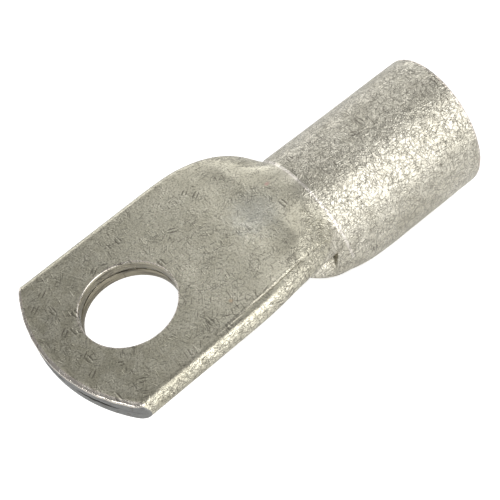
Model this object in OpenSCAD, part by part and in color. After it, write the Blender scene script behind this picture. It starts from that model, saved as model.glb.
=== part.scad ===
// Tinned copper cable lug, pressed from one length of round tube.
// X runs from the palm to the open end of the barrel, Y across the palm, Z up out of the contact face.
// The origin is the centre of the stud hole on the contact face. All sizes are in millimetres.

/* [Palm] */
// Width of the flattened palm over its two folds
palm_w = 28.4; // [26:0.1:32]
// Thickness of the palm, both layers together
palm_t = 3.1; // [2.6:0.1:4]
// Diameter of the stud hole
stud_hole_d = 13; // [8:0.5:15]
// Distance from the centre of the stud hole to the middle of the rounded end
tip_reach = 12.4; // [11:0.1:16]
// Radius of the rounded end in plan
tip_r = 24; // [18:0.5:40]
// Gap left between the two pressed layers
seam_gap = 0.1; // [0.06:0.01:0.3]
// Extra opening of the seam where the layers spring apart at the rounded end
seam_spring = 0.28; // [0.1:0.02:0.6]
// Distance from the palm's centre line to the middle of each outer opening
seam_bow_y = 8.3; // [7:0.1:9]
// Width of each outer opening
seam_bow_w = 6.4; // [4:0.1:7]
// Width of the middle opening
seam_mid_w = 4.4; // [2:0.1:6]

/* [Barrel] */
// Outside diameter of the barrel
barrel_d = 20; // [18:0.1:22]
// Diameter of the bore that takes the conductor
bore_d = 16.5; // [14:0.1:17]
// Distance from the centre of the stud hole to the open end of the barrel
mouth_x = 52.6; // [44:0.1:70]
// Depth of the barrel's centre line below the contact face
axis_drop = 9.5; // [8.6:0.1:10]
// Width of the chamfer round the inside of the open end
mouth_chamfer = 0.4; // [0.1:0.1:0.8]

/* [Shoulders] */
// Distance from the centre of the stud hole to the line that the upper die leaves round the barrel
press_x = 27.8; // [25:0.1:31]
// Depth of the step at that line
press_step = 0.12; // [0.05:0.01:0.3]
// Distance from the centre of the stud hole to where the palm starts to narrow
narrow_x = 9; // [4:0.5:13]
// Sharpness of the shoulders in plan
shoulder_sharpness = 3.7; // [2.6:0.1:5]
// Rounding of the shoulders where they meet the barrel
shoulder_ease = 0.75; // [0.5:0.05:1]
// Angle round the barrel, from its top, where the shoulders run out
shoulder_run_out = 55; // [45:1:62]
// Distance back from the die line to the foot of the tuck wall under each shoulder
tuck_back = 3.6; // [2.6:0.1:5]
// Distance that the tuck wall leans over towards the barrel
tuck_lean = 2.4; // [0.5:0.1:2.4]
// Height of the foot of the tuck wall above the barrel's centre line
tuck_rise = 0.6; // [0.2:0.1:1.5]

/* [Ramp] */
// Slope of the underside between palm and barrel, in degrees
ramp_slope = 45; // [38:1:52]
// Radius of the bend from the ramp into the barrel
ramp_heel_r = 15.4; // [10:0.1:20]
// Radius of the bend from the palm into the ramp
ramp_root_r = 5; // [2:0.5:7]
// Distance from the centre of the stud hole to where the sharp bend under the palm would be
ramp_root_x = 15.6; // [14:0.1:17]
// Length over which the ramp narrows from the barrel's width to its nose
ramp_nose = 12.9; // [10:0.1:13]
// How late the ramp narrows: a higher value keeps it wide for longer
ramp_fullness = 2.6; // [1.8:0.1:3]
// Depth of the rounded underside along the ramp's nose
ramp_belly = 1; // [0.8:0.1:1.4]

/* [Hidden] */
tin = [0.68, 0.67, 0.62];
barrel_r = barrel_d / 2;
bore_r = bore_d / 2;
wall = barrel_r - bore_r;
fold_r = palm_t / 2;
fold_centre_y = palm_w / 2 - fold_r;
axis_z = -axis_drop;
// Overlap that lets neighbouring forms fuse
lap = 0.6;
// Distance before the die line at which the shoulders are as low as the step
shoulder_lead = 0.4;
// How soon the ramp's underside flattens from the barrel's round form to its nose
belly_lead = 3.2;
// Fullness of the ramp's lower corners: 1 is an ellipse, less is squarer
ramp_squareness = 0.88;
// Extra thickness of the pinched layer under the hollow
under_layer = 1.2;
// Skin left between a lofted form and the exact one that it runs into
shy = 0.05;
eps = 0.001;

// Smooth step from 0 to 1 as t goes from 0 to 1
function ease(t) = let (c = min(1, max(0, t))) c * c * (3 - 2 * c);
function mix(a, b, t) = a + (b - a) * t;

// ---- Closed skin through a list of rings, all with the same number of points ----
module skin(rings) {
    n = len(rings[0]);
    last = len(rings) - 1;
    points = [for (ring = rings, p = ring) p];
    sides = [
        for (i = [0 : last - 1], j = [0 : n - 1])
            let (k = (j + 1) % n)
            each [
                [i * n + j, (i + 1) * n + k, (i + 1) * n + j],
                [i * n + j, i * n + k, (i + 1) * n + k]
            ]
    ];
    front = [for (j = [n - 1 : -1 : 0]) j];
    back = [for (j = [0 : n - 1]) last * n + j];
    polyhedron(points, concat([front, back], sides));
}

// ---- Shoulders: the flattened tube opening out from the barrel to the palm ----
shoulder_end = press_x - shoulder_lead;
step_r = barrel_r - press_step;
flat_share = fold_centre_y / (fold_centre_y + fold_r * PI / 2);

// How far the section is flattened at x: 1 is the palm, 0 is the round barrel
function flatness(x) =
    let (t = min(1, max(0, (x - narrow_x) / (shoulder_end - narrow_x))))
    pow(1 - pow(t, shoulder_sharpness), shoulder_ease);

// Height of the crest at x, measured from the barrel's centre line
function crest(x) = mix(axis_drop, step_r, ease((x - mix(narrow_x, press_x, 0.5)) / (press_x - narrow_x) * 2));

// Point of the upper outline of the section, s from 0 at the crest to 1 at the fold
function palm_point(s) =
    s < flat_share
    ? [s / flat_share * fold_centre_y, axis_drop]
    : let (a = (s - flat_share) / (1 - flat_share) * 90)
      [fold_centre_y + fold_r * sin(a), axis_drop - fold_r + fold_r * cos(a)];
function barrel_point(s) = let (a = s * shoulder_run_out) [step_r * sin(a), step_r * cos(a)];
function upper_point(x, s) =
    let (f = flatness(x), p = palm_point(s), b = barrel_point(s), lift = crest(x) - mix(step_r, axis_drop, f))
    [mix(b.x, p.x, f) - shy, mix(b.y, p.y, f) + lift - shy];

// Point of the rounded lower edge of the section, a from 0 at the fold to 90 at the underside
function lower_point(x, a) =
    let (fold = upper_point(x, 1), r = fold_r - 2 * shy)
    [fold.x - r + r * cos(a), fold.y - r * sin(a)];

function shoulder_ring(x) =
    let (
        flat_steps = 8,
        fold_steps = 6,
        upper = [
            for (i = [0 : flat_steps]) upper_point(x, flat_share * i / flat_steps),
            for (i = [1 : fold_steps]) upper_point(x, mix(flat_share, 1, i / fold_steps))
        ],
        lower = [for (i = [1 : fold_steps]) lower_point(x, 90 * i / fold_steps)],
        half = concat(upper, lower),
        n = len(half)
    )
    [
        for (i = [0 : n - 1]) [x, half[i].x, half[i].y + axis_z],
        for (i = [n - 1 : -1 : 1]) [x, -half[i].x, half[i].y + axis_z]
    ];

module shoulders() {
    coarse = [for (i = [0 : 8]) mix(narrow_x + 1, shoulder_end - 4, i / 8)];
    fine = [for (i = [1 : 16]) mix(shoulder_end - 4, shoulder_end, i / 16)];
    skin([for (x = concat(coarse, fine, [press_x + lap])) shoulder_ring(x)]);
}

// ---- Ramp: the underside of the flattened tube, from the palm down to the barrel ----
heel_run = ramp_heel_r * sin(ramp_slope);
heel_drop = ramp_heel_r * (1 - cos(ramp_slope));
underside = axis_drop - palm_t;
ramp_fall = underside + barrel_r - heel_drop;
heel_start = ramp_root_x + ramp_fall / tan(ramp_slope);
ramp_end = heel_start + heel_run;
root_run = ramp_root_r * tan(ramp_slope / 2);
root_start = ramp_root_x - root_run;
root_end = ramp_root_x + root_run * cos(ramp_slope);

// Height of the lowest line of the ramp at x, measured from the barrel's centre line
function ramp_low(x) =
    x < root_start ? underside
    : x < root_end ? underside - ramp_root_r + sqrt(pow(ramp_root_r, 2) - pow(x - root_start, 2))
    : x < heel_start ? underside - (x - ramp_root_x) * tan(ramp_slope)
    : x < ramp_end ? ramp_heel_r - barrel_r - sqrt(pow(ramp_heel_r, 2) - pow(ramp_end - x, 2))
    : -barrel_r;

nose_x = heel_start - ramp_nose;
nose_half = 0.4;
// Share of the way from the barrel to the ramp's nose at x
function nose_share(x) = min(1, max(0, (heel_start - x) / ramp_nose));
// Half width of the ramp at x
function ramp_half(x) = mix(barrel_r, nose_half, pow(nose_share(x), ramp_fullness)) - shy;
// Depth from the widest line of the ramp to its lowest line at x
function ramp_depth(x) = mix(ramp_belly, -ramp_low(heel_start), pow(1 - nose_share(x), belly_lead));
// Height of the widest line of the ramp at x
function ramp_waist(x) = x < heel_start ? ramp_low(x) + ramp_depth(x) : 0;
// Height of the top of the ramp's section, inside the shoulders or the barrel
function ramp_high(x) = x > press_x - 1 ? barrel_r - wall / 2 : axis_drop - fold_r;

function ramp_ring(x) =
    let (
        steps = 44,
        half = ramp_half(x),
        waist = ramp_waist(x),
        low = waist - ramp_low(x) - shy,
        high = ramp_high(x) - waist,
        round = mix(ramp_squareness, 1, ease((x - heel_start) / heel_run))
    )
    [
        for (i = [0 : steps - 1])
            let (a = 360 * i / steps, upper = cos(a) > 0)
            [
                x,
                half * sign(sin(a)) * pow(abs(sin(a)), upper ? 1 : round),
                waist + (upper ? high : low) * cos(a) + axis_z
            ]
    ];

module ramp() {
    nose = [for (i = [0 : 14]) mix(nose_x, heel_start, i / 14)];
    heel = [for (i = [1 : 12]) mix(heel_start, ramp_end, i / 12)];
    skin([for (x = concat(nose, heel, [ramp_end + lap])) ramp_ring(x)]);
}

// ---- Barrel: the round tube, with the bites of the two dies taken out of it ----
tuck_foot = press_x - tuck_back;
tuck_top = axis_drop - palm_t - lap;
module along_x(x0, x1, r) {
    translate([x0, 0, axis_z]) rotate([0, 90, 0]) cylinder(h = x1 - x0, r = r, $fn = 128);
}

module die_profile() {
    rotate([90, 0, 0])
        linear_extrude(height = 2 * barrel_d, center = true)
            polygon([
                [mouth_x, axis_z - barrel_d],
                [mouth_x, axis_z + barrel_d],
                [press_x, axis_z + barrel_d],
                [press_x, axis_z + tuck_top],
                [tuck_foot + tuck_lean, axis_z + tuck_top],
                [tuck_foot, axis_z + tuck_rise],
                [heel_start, axis_z - lap],
                [ramp_end, axis_z - lap],
                [ramp_end, axis_z - barrel_d]
            ]);
}

module barrel() {
    intersection() {
        along_x(tuck_foot - lap, mouth_x, barrel_r);
        die_profile();
    }
}

// ---- Palm: the flat part, with its two round folds ----
module palm() {
    palm_end = narrow_x + 2 * lap + 1;
    intersection() {
        translate([palm_end, 0, -fold_r])
            rotate([90, 0, -90])
                linear_extrude(height = palm_end + tip_reach + lap) {
                    square([2 * fold_centre_y, palm_t], center = true);
                    for (side = [-1, 1]) translate([side * fold_centre_y, 0]) circle(r = fold_r, $fn = 64);
                }
        translate([tip_r - tip_reach, 0, -2 * palm_t]) cylinder(h = 3 * palm_t, r = tip_r, $fn = 256);
    }
}

// ---- Hollow: the bore, its pinched end and the seam between the layers ----
bore_end = ramp_end - 1;
pinch_x = ramp_root_x + 0.2;
// One opening of the seam: widest at the rounded end, closing towards the stud hole
module seam_bow(y, w, deepest) {
    steps = 10;
    half = [for (i = [0 : steps]) [mix(-w, w, i / steps) / 2, 1 - pow(2 * i / steps - 1, 2)]];
    ends = [[-tip_reach - lap, seam_gap + seam_spring], [deepest, seam_gap]];
    skin([
        for (e = ends)
            [
                for (i = [0 : steps]) [e[0], y + half[i][0], half[i][1] * e[1] / 2 - fold_r],
                for (i = [steps - 1 : -1 : 1]) [e[0], y + half[i][0], -half[i][1] * e[1] / 2 - fold_r]
            ]
    ]);
}

module seam() {
    translate([-tip_reach - lap, -fold_centre_y, -fold_r - seam_gap / 2])
        cube([tip_reach + 2 * lap + pinch_x, 2 * fold_centre_y, seam_gap]);
    for (side = [-1, 1]) seam_bow(side * seam_bow_y, seam_bow_w, 0);
    seam_bow(0, seam_mid_w, -stud_hole_d / 2 + lap);
}

function hollow_ring(x) =
    let (
        steps = 40,
        t = (x - pinch_x) / (bore_end - pinch_x),
        layer = palm_t / 2,
        skin_t = mix(layer, wall, ease(t)),
        half = min(ramp_half(x) - skin_t, bore_r - shy),
        waist = ramp_waist(x),
        low = max(waist - ramp_low(x) - skin_t * under_layer, seam_gap),
        high = max(crest(x) - skin_t - waist, seam_gap)
    )
    [
        for (i = [0 : steps - 1])
            let (a = 360 * i / steps, s = cos(a) > 0 ? min(high, bore_r - shy) : min(low, bore_r - shy))
            [x, max(half, 1) * sin(a), waist + s * cos(a) + axis_z]
    ];

module hollow() {
    along_x(bore_end, mouth_x + lap, bore_r);
    translate([mouth_x - mouth_chamfer, 0, axis_z])
        rotate([0, 90, 0])
            cylinder(h = mouth_chamfer + eps, r1 = bore_r, r2 = bore_r + mouth_chamfer + eps, $fn = 128);
    skin([for (i = [0 : 22]) hollow_ring(mix(pinch_x, bore_end + lap, i / 22))]);
}

module lug() {
    color(tin)
        difference() {
            union() {
                palm();
                shoulders();
                ramp();
                barrel();
            }
            hollow();
            seam();
            translate([0, 0, -2 * palm_t]) cylinder(h = 3 * palm_t, d = stud_hole_d, $fn = 96);
        }
}

lug();
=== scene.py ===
"""Dressed model of a tinned copper cable lug.

The lug is one length of round tube, pressed flat at one end and drilled for a stud.
The solid in the frame carries its size and its mounts. This script stands a finer
piece in for it: rolled folds, the ridge and tucks that the dies leave, a sheared end
whose layers spring apart, and a tumbled tin finish. Lengths are in millimetres until
they reach a mesh, and metres from there on.
"""

import logging
import math
from dataclasses import dataclass, field
from enum import Enum

import bpy
from mathutils import Matrix, Vector, noise

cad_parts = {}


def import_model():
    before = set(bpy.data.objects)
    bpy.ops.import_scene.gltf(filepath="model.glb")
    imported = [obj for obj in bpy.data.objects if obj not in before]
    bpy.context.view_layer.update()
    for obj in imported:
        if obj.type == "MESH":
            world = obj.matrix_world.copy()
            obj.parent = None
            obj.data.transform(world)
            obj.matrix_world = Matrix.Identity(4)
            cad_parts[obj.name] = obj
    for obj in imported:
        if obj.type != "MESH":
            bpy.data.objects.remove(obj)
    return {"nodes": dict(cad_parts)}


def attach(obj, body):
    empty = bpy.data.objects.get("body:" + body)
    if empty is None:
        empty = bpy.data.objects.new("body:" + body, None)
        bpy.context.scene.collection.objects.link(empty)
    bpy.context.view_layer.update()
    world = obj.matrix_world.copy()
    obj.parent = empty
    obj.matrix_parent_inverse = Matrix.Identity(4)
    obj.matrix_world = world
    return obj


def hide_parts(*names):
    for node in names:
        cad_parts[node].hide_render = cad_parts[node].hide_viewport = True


LOG = logging.getLogger("lug")
MM = 0.001
QUARTER = math.pi / 2

Point = tuple[float, float, float]
Ring = list[Point]
Face = tuple[int, ...]
Colour = tuple[float, float, float, float]
Socket = bpy.types.NodeSocket


class Slot(Enum):
    """Material slots that the frame's record names."""

    TIN = "tin"


# ---------------------------------------------------------------- small helpers


def clamp(value: float, low: float = 0.0, high: float = 1.0) -> float:
    """Keep a value between two limits.

    Args:
        value: The number to limit.
        low: The least it may be.
        high: The most it may be.

    Returns:
        The limited number.
    """
    return min(high, max(low, value))


def mix(first: float, second: float, share: float) -> float:
    """Blend two numbers.

    Args:
        first: Value where share is 0.
        second: Value where share is 1.
        share: How far to go from the first to the second.

    Returns:
        The blended number.
    """
    return first + (second - first) * share


def ease(share: float) -> float:
    """Step smoothly from 0 to 1.

    Args:
        share: Position along the step, limited to 0 to 1.

    Returns:
        The eased position.
    """
    share = clamp(share)
    return share * share * (3.0 - 2.0 * share)


def spread(first: float, last: float, steps: int) -> list[float]:
    """Divide a stretch evenly, leaving out its start.

    Args:
        first: Where the stretch starts.
        last: Where it ends.
        steps: Number of places.

    Returns:
        The places, the end among them.
    """
    return [mix(first, last, i / steps) for i in range(1, steps + 1)]


def circle(steps: int) -> list[tuple[float, float]]:
    """Divide a whole turn evenly.

    Args:
        steps: Number of directions.

    Returns:
        Sine and cosine of each direction.
    """
    turns = [math.tau * k / steps for k in range(steps)]
    return [(math.sin(turn), math.cos(turn)) for turn in turns]


@dataclass(frozen=True)
class Wave:
    """A smooth, fixed unevenness of the metal, in millimetres.

    Attributes:
        height: How far it presses the metal in or out.
        pitch: Distance between one rise and the next.
        seed: Shift that gives another pattern.
    """

    height: float
    pitch: float
    seed: float = 0.0

    def at(self, point: Point) -> float:
        """Give the unevenness at a place.

        Args:
            point: The place, in millimetres.

        Returns:
            How far the metal is pressed out there.
        """
        x, y, z = (along / self.pitch for along in point)
        return self.height * noise.noise(Vector((x + self.seed, y - self.seed, z)))


# ---------------------------------------------------------------- the lug's form


@dataclass(frozen=True)
class Fade:
    """How one side of the flattened palm runs back into the round tube.

    Each law is 1 on the palm and 0 at the die line. A high sharpness keeps the palm's
    form for longer, and a high softness lets it die away without an edge.

    Attributes:
        width_sharpness: Sharpness of the law for the width.
        width_softness: Softness of the law for the width.
        height_sharpness: Sharpness of the law for the fold's height.
        height_softness: Softness of the law for the fold's height.
        run_out: Angle round the tube, from its top, where the fold ends.
    """

    width_sharpness: float
    width_softness: float
    height_sharpness: float
    height_softness: float
    run_out: float

    def width(self, share: float) -> float:
        """How wide the palm still is.

        Args:
            share: 0 where the palm starts to narrow, 1 at the die line.

        Returns:
            1 for the palm's width, 0 for the tube's.
        """
        return (1.0 - clamp(share) ** self.width_sharpness) ** self.width_softness

    def height(self, share: float) -> float:
        """How high the fold at the palm's side still lies.

        Args:
            share: 0 where the palm starts to narrow, 1 at the die line.

        Returns:
            1 for the palm's height, 0 for the tube's.
        """
        return (1.0 - clamp(share) ** self.height_sharpness) ** self.height_softness


@dataclass(frozen=True)
class LugForm:
    """Sizes of the pressed tube, in millimetres.

    X runs from the palm to the barrel's mouth, Y across, Z up out of the contact face,
    and the origin is the stud hole's centre on that face. The near side is that of -Y.

    Attributes:
        palm_w: Width of the palm over its two folds.
        palm_t: Thickness of both layers together.
        hole_r: Radius of the stud hole.
        tip_reach: From the stud hole to the middle of the sheared end.
        tip_r: Radius of the sheared end in plan.
        tip_shift: Sideways shift of that arc's centre.
        edge_r: Radius of the sheared end's edges.
        drift_rate: Sideways lean of the palm for each millimetre along it.
        drift_from: Where the lean is nothing.
        drift_to: Where it has grown to its most.
        drift_out: Length over which it dies away from there.
        barrel_r: Outer radius of the barrel.
        bore_r: Radius of the bore.
        mouth_x: From the stud hole to the middle of the sawn mouth.
        mouth_yaw: How far the saw cut is out of square, seen from above.
        mouth_pitch: The same, seen from the side.
        axis_drop: Depth of the barrel's axis below the contact face.
        press_x: From the stud hole to the upper die's line.
        press_bow: How far that line bends along the barrel.
        press_step: Depth of the step at that line.
        ridge: Height of the thin ridge along it.
        narrow_x: Where the palm starts to narrow.
        shoulder_lead: From the shoulders' end to the die line.
        top_share: Share of the half width over which the height follows the top line.
        far: How the far side runs back into the tube.
        near: How the near side does.
        dip_x: Where the palm's top starts to round over.
        crease: Depth of the groove along the near fold.
        crease_w: Width of that groove.
        crease_inset: From the groove to the middle of the fold.
        crease_from: Where the groove starts.
        crease_run: Length over which it deepens.
        tuck_foot: Where the foot of the tuck's wall is.
        tuck_lean: How far the wall leans over towards the barrel.
        tuck_rise: Height of its foot above the barrel's axis.
        pinch: Roundness of the ramp's sides beside the tucks, 2 for an ellipse.
        pinch_from: Where the dies start to pinch the ramp.
        pinch_run: Length over which the pinch grows.
        ramp_slope: Slope of the underside between palm and barrel.
        heel_r: Radius of the bend from the ramp into the barrel.
        root_r: Radius of the bend from the palm into the ramp.
        root_x: Where the sharp bend under the palm would be.
        nose: Length over which the ramp narrows.
        nose_half: Half width of the ramp at its tip.
        fullness: How late the ramp narrows.
        belly: Depth of the rounded underside along the ramp's nose.
        belly_lead: How soon the underside flattens towards the nose.
        squareness: Fullness of the ramp's lower corners, 1 for an ellipse.
    """

    palm_w: float = 27.86
    palm_t: float = 3.1
    hole_r: float = 6.5
    tip_reach: float = 12.38
    tip_r: float = 24.0
    tip_shift: float = 0.8
    edge_r: float = 0.30
    drift_rate: float = 0.024
    drift_from: float = 2.0
    drift_to: float = 17.0
    drift_out: float = 10.0
    barrel_r: float = 10.0
    bore_r: float = 8.25
    mouth_x: float = 51.85
    mouth_yaw: float = math.radians(2.03)
    mouth_pitch: float = math.radians(3.8)
    axis_drop: float = 9.5
    press_x: float = 27.75
    press_bow: float = 0.35
    press_step: float = 0.05
    ridge: float = 0.16
    narrow_x: float = 9.0
    shoulder_lead: float = 0.4
    top_share: float = 0.45
    far: Fade = Fade(3.7, 0.75, 3.7, 0.75, math.radians(55))
    near: Fade = Fade(2.5, 1.3, 3.3, 1.2, math.radians(71))
    dip_x: float = 21.5
    crease: float = 0.17
    crease_w: float = 0.20
    crease_inset: float = 0.26
    crease_from: float = 1.0
    crease_run: float = 13.0
    tuck_foot: float = 25.0
    tuck_lean: float = 2.0
    tuck_rise: float = 0.6
    pinch: float = 1.45
    pinch_from: float = 20.5
    pinch_run: float = 3.0
    ramp_slope: float = math.radians(45)
    heel_r: float = 15.4
    root_r: float = 5.0
    root_x: float = 15.6
    nose: float = 12.9
    nose_half: float = 0.4
    fullness: float = 3.4
    belly: float = 1.0
    belly_lead: float = 4.0
    squareness: float = 0.86

    @property
    def fold_r(self) -> float:
        """Radius of the folds at the palm's sides."""
        return self.palm_t / 2

    @property
    def fold_y(self) -> float:
        """Distance from the centre plane to the middle of a fold."""
        return self.palm_w / 2 - self.fold_r

    @property
    def flat_share(self) -> float:
        """Share of the half outline that is flat, the fold's quarter turn being the rest."""
        return self.fold_y / (self.fold_y + self.fold_r * QUARTER)

    @property
    def shoulder_end(self) -> float:
        """Where the shoulders have become the tube."""
        return self.press_x - self.shoulder_lead

    @property
    def step_r(self) -> float:
        """Radius of the pressed tube beside the die line."""
        return self.barrel_r - self.press_step

    @property
    def underside(self) -> float:
        """Height of the palm's underside above the barrel's axis."""
        return self.axis_drop - self.palm_t

    @property
    def heel_start(self) -> float:
        """Where the straight ramp turns into the bend of the heel."""
        drop = self.heel_r * (1 - math.cos(self.ramp_slope))
        return self.root_x + (self.underside + self.barrel_r - drop) / math.tan(self.ramp_slope)

    @property
    def heel_end(self) -> float:
        """Where the heel has become the round barrel."""
        return self.heel_start + self.heel_r * math.sin(self.ramp_slope)

    def drift(self, x: float) -> float:
        """Sideways lean of the palm, which grows from its end to the shoulders.

        Args:
            x: Place along the lug.

        Returns:
            Shift along Y.
        """
        lean = self.drift_rate * (min(x, self.drift_to) - self.drift_from)
        return lean * (1.0 - ease((x - self.drift_to) / self.drift_out))

    def crest(self, x: float) -> float:
        """Height of the top line above the barrel's axis.

        Args:
            x: Place along the lug.

        Returns:
            The height.
        """
        middle = mix(self.narrow_x, self.press_x, 0.5)
        return mix(self.axis_drop, self.step_r, ease((x - middle) / (self.press_x - middle)))

    def palm_upper(self, x: float, share: float, near: bool) -> tuple[float, float]:
        """Point of the palm's upper outline, before it becomes the tube's.

        Args:
            x: Place along the lug.
            share: 0 at the top line, 1 at the side of the fold.
            near: Whether this is the near side, which has the groove.

        Returns:
            Distance from the centre plane, and height above the barrel's axis.
        """
        if share < self.flat_share:
            across = share / self.flat_share * self.fold_y
            sunk = self.crease * ease((x - self.crease_from) / self.crease_run) if near else 0.0
            off = (self.fold_y - across - self.crease_inset) / self.crease_w
            return across, self.axis_drop - sunk * math.exp(-(off**2))
        turn = (share - self.flat_share) / (1 - self.flat_share) * QUARTER
        return (
            self.fold_y + self.fold_r * math.sin(turn),
            self.axis_drop - self.fold_r + self.fold_r * math.cos(turn),
        )

    def upper(self, x: float, share: float, near: bool) -> tuple[float, float]:
        """Point of the upper outline of the pressed tube.

        Args:
            x: Place along the lug.
            share: 0 at the top line, 1 at the side of the fold.
            near: Whether this is the near side, whose shoulder runs in lower.

        Returns:
            Distance from the centre plane, and height above the barrel's axis.
        """
        palm = self.palm_upper(x, share, near)
        fade = self.near if near else self.far
        turn = share * fade.run_out
        tube = (self.step_r * math.sin(turn), self.step_r * math.cos(turn))
        along = (x - self.narrow_x) / (self.shoulder_end - self.narrow_x)
        top = 1.0 - ease((x - self.dip_x) / (self.shoulder_end - self.dip_x))
        high = mix(top, fade.height(along), ease((share - self.top_share) / self.top_share))
        lift = self.crest(x) - mix(self.step_r, self.axis_drop, high)
        return mix(tube[0], palm[0], fade.width(along)), mix(tube[1], palm[1], high) + lift

    def ramp_low(self, x: float) -> float:
        """Height of the ramp's lowest line above the barrel's axis.

        Args:
            x: Place along the lug.

        Returns:
            The height, negative below the axis.
        """
        run = self.root_r * math.tan(self.ramp_slope / 2)
        start = self.root_x - run
        end = self.root_x + run * math.cos(self.ramp_slope)
        if x < start:
            return self.underside
        if x < end:
            return self.underside - self.root_r + math.sqrt(self.root_r**2 - (x - start) ** 2)
        if x < self.heel_start:
            return self.underside - (x - self.root_x) * math.tan(self.ramp_slope)
        if x < self.heel_end:
            back = self.heel_end - x
            return self.heel_r - self.barrel_r - math.sqrt(self.heel_r**2 - back**2)
        return -self.barrel_r

    def nose_share(self, x: float) -> float:
        """How far along the ramp's nose a place is.

        Args:
            x: Place along the lug.

        Returns:
            0 at the heel, 1 at the nose's tip.
        """
        return clamp((self.heel_start - x) / self.nose)

    def ramp_half(self, x: float) -> float:
        """Half width of the ramp.

        Args:
            x: Place along the lug.

        Returns:
            The half width.
        """
        return mix(self.barrel_r, self.nose_half, self.nose_share(x) ** self.fullness)

    def ramp_waist(self, x: float) -> float:
        """Height of the ramp's widest line above the barrel's axis.

        Args:
            x: Place along the lug.

        Returns:
            The height.
        """
        if x >= self.heel_start:
            return 0.0
        deep = -self.ramp_low(self.heel_start)
        return self.ramp_low(x) + mix(self.belly, deep, (1 - self.nose_share(x)) ** self.belly_lead)

    def tuck_power(self, x: float) -> float:
        """Roundness of the ramp's upper sides, which the dies pinch in beside the barrel.

        Args:
            x: Place along the lug.

        Returns:
            2 for an ellipse, less where the sides are drawn in.
        """
        return mix(2.0, self.pinch, ease((x - self.pinch_from) / self.pinch_run))

    def tip_edge(self, y: float) -> float:
        """Line of the sheared end.

        Args:
            y: Distance from the centre plane.

        Returns:
            Place along X.
        """
        return self.tip_r - self.tip_reach - math.sqrt(self.tip_r**2 - (y - self.tip_shift) ** 2)

    def mouth_skew(self, y: float, z: float) -> float:
        """How far the sawn mouth, which is a little out of square, lies past its middle.

        Args:
            y: Distance from the centre plane.
            z: Height above the barrel's axis.

        Returns:
            Shift along X.
        """
        return math.tan(self.mouth_yaw) * y + math.tan(self.mouth_pitch) * z


# ---------------------------------------------------------------- meshes


def select_only(piece: bpy.types.Object) -> None:
    """Select one object and make it active.

    Args:
        piece: The object.
    """
    bpy.ops.object.select_all(action="DESELECT")
    piece.select_set(True)
    bpy.context.view_layer.objects.active = piece


def select_mesh(piece: bpy.types.Object) -> None:
    """Open one object for editing, with its whole mesh selected.

    Args:
        piece: The object.
    """
    select_only(piece)
    bpy.ops.object.mode_set(mode="EDIT")
    bpy.ops.mesh.select_all(action="SELECT")


def closed(name: str, points: list[Point], faces: list[Face]) -> bpy.types.Object:
    """Make an object from a closed set of faces, with its normals outward.

    Args:
        name: Name of the object.
        points: Its points, in millimetres.
        faces: Its faces, as places in the list of points.

    Returns:
        The new object, its own origin at the frame's.
    """
    mesh = bpy.data.meshes.new(name)
    mesh.from_pydata([tuple(along * MM for along in point) for point in points], [], faces)
    mesh.validate()
    piece = bpy.data.objects.new(name, mesh)
    bpy.context.collection.objects.link(piece)
    select_mesh(piece)
    bpy.ops.mesh.normals_make_consistent(inside=False)
    bpy.ops.object.mode_set(mode="OBJECT")
    return piece


def combine(piece: bpy.types.Object, tool: bpy.types.Object, operation: str) -> None:
    """Join or cut a piece with another, which is then deleted.

    Args:
        piece: The object that stays.
        tool: The object that is joined to it or taken from it.
        operation: UNION or DIFFERENCE.
    """
    select_only(piece)
    change = piece.modifiers.new(operation.title(), "BOOLEAN")
    change.operation = operation
    change.solver = "MANIFOLD"
    change.object = tool
    bpy.ops.object.modifier_apply(modifier=change.name)
    mesh = tool.data
    bpy.data.objects.remove(tool, do_unlink=True)
    bpy.data.meshes.remove(mesh)
    LOG.info("%s %s: %d faces", operation.lower(), piece.name, len(piece.data.polygons))


@dataclass
class Skin:
    """A closed surface through rings that all have the same number of points.

    Attributes:
        name: Name of the object that it becomes.
        rings: Its rings, from one end to the other.
    """

    name: str
    rings: list[Ring] = field(default_factory=list)

    def add(self, ring: Ring) -> None:
        """Put one more ring at the end.

        Args:
            ring: Its points, in millimetres.
        """
        self.rings.append(ring)

    def points(self) -> list[Point]:
        """List the points of all rings.

        Returns:
            The points, ring after ring.
        """
        return [point for ring in self.rings for point in ring]

    def walls(self) -> list[Face]:
        """List the faces between the rings.

        Returns:
            The faces, as places in the list of points.
        """
        count = len(self.rings[0])
        faces: list[Face] = []
        for start in range(0, (len(self.rings) - 1) * count, count):
            for j in range(count):
                k = (j + 1) % count
                faces.append((start + j, start + k, start + count + k, start + count + j))
        return faces

    def end(self) -> Face:
        """Give the face that closes the last ring.

        Returns:
            The face, as places in the list of points.
        """
        count = len(self.rings[0])
        last = (len(self.rings) - 1) * count
        return tuple(range(last, last + count))

    def build(self) -> bpy.types.Object:
        """Make the object, with one flat face over each end.

        Returns:
            The new object.
        """
        first = tuple(reversed(range(len(self.rings[0]))))
        return closed(self.name, self.points(), [*self.walls(), first, self.end()])


# ---------------------------------------------------------------- sub-assemblies


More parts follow.
